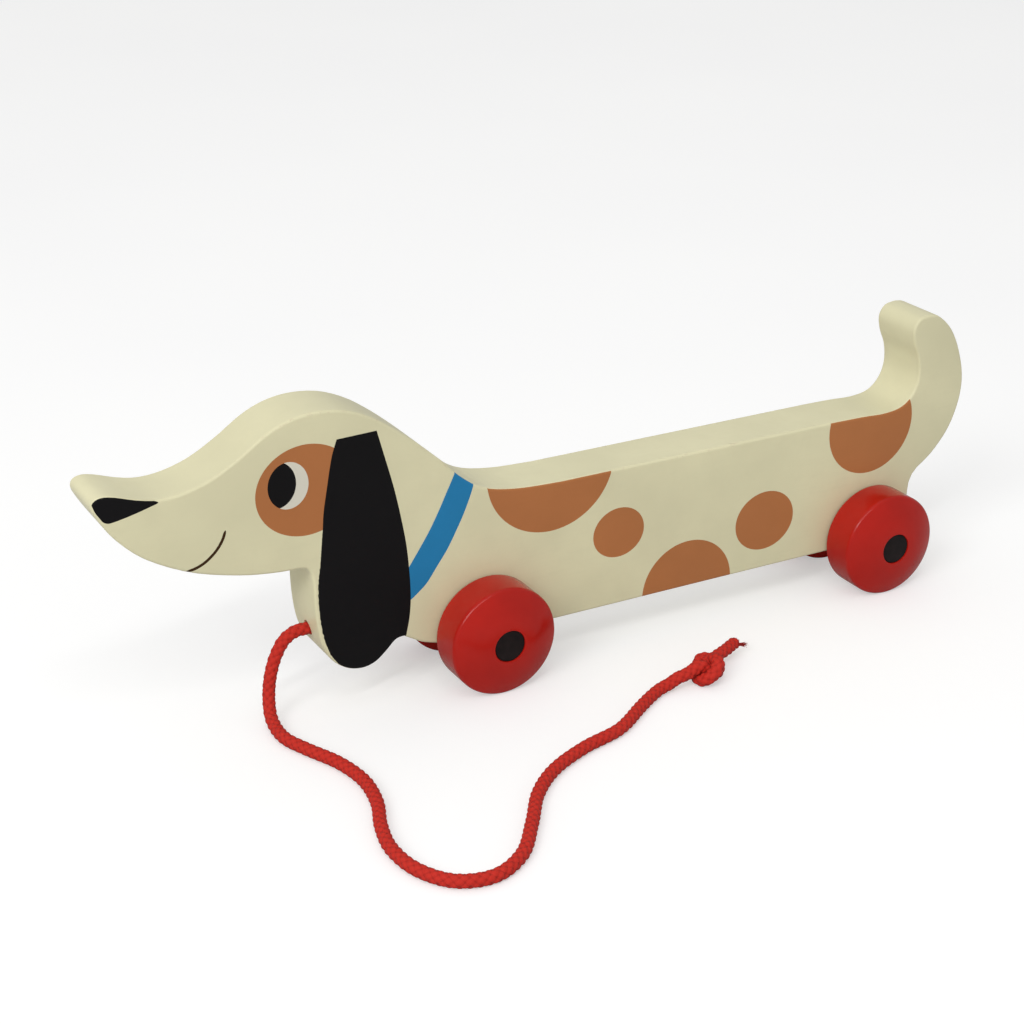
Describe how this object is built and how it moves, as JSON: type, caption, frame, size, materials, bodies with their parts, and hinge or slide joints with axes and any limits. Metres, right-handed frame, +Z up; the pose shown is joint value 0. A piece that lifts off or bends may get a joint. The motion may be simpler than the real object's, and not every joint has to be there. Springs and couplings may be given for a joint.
{
  "type": "pull-along toy dog",
  "caption": "Flat wooden dachshund toy that rolls on domed wheels fixed to dowel axles and is pulled by a braided, knotted cord.",
  "frame": {"origin": "on the plank's flat underside, on the mid-plane, midway between the two axles; the floor is 16 mm below it", "axes": "+Z up, the dog looks towards -X, its left side faces -Y"},
  "size_m": [0.3449, 0.1566, 0.1111],
  "materials": {
    "painted_plank": "cream satin paint with flat printed spots, ear, eye, nose, mouth and collar on both sides",
    "wheel_paint": "red semi-gloss paint",
    "hub_paint": "black satin paint",
    "dowel": "bare turned beech",
    "cord": "red round braided polyester or cotton cord"
  },
  "bodies": {
    "toy_body": {"plank_body": "painted_plank", "cord_anchor": "cord"},
    "front_wheelset": {"front_axle": "dowel", "front_left_wheel": "wheel_paint", "front_right_wheel": "wheel_paint", "front_left_hub_plug": "hub_paint", "front_right_hub_plug": "hub_paint"},
    "rear_wheelset": {"rear_axle": "dowel", "rear_left_wheel": "wheel_paint", "rear_right_wheel": "wheel_paint", "rear_left_hub_plug": "hub_paint", "rear_right_hub_plug": "hub_paint"},
    "cord_drop": {"cord_drop": "cord"},
    "cord_front_run": {"cord_front_run": "cord"},
    "cord_loop": {"cord_loop": "cord"},
    "cord_back_run": {"cord_back_run": "cord"},
    "cord_knotted_end": {"cord_knotted_end": "cord"}
  },
  "joints": [
    {"name": "front_axle_spin", "type": "hinge", "parent": "toy_body", "child": "front_wheelset", "pos_m": [-0.0833, 0, 0.004], "axis": [0, 1, 0], "continuous": true},
    {"name": "rear_axle_spin", "type": "hinge", "parent": "toy_body", "child": "rear_wheelset", "pos_m": [0.0833, 0, 0.004], "axis": [0, 1, 0], "continuous": true},
    {"name": "cord_lift", "type": "hinge", "parent": "toy_body", "child": "cord_drop", "pos_m": [-0.1498, 0, 0.0136], "axis": [-1, 0, 0], "range_deg": [0, 60]},
    {"name": "cord_front_bend", "type": "hinge", "parent": "cord_drop", "child": "cord_front_run", "pos_m": [-0.16453, -0.01673, -0.0138], "axis": [0, 0, 1], "range_deg": [-80, 12]},
    {"name": "cord_loop_start_bend", "type": "hinge", "parent": "cord_front_run", "child": "cord_loop", "pos_m": [-0.16177, -0.10429, -0.0138], "axis": [0, 0, 1], "range_deg": [-60, 5]},
    {"name": "cord_loop_end_bend", "type": "hinge", "parent": "cord_loop", "child": "cord_back_run", "pos_m": [-0.11522, -0.10228, -0.0138], "axis": [0, 0, 1], "range_deg": [-60, 5]},
    {"name": "cord_back_bend", "type": "hinge", "parent": "cord_back_run", "child": "cord_knotted_end", "pos_m": [-0.0822, -0.07465, -0.0138], "axis": [0, 0, 1], "range_deg": [-40, 10]}
  ]
}
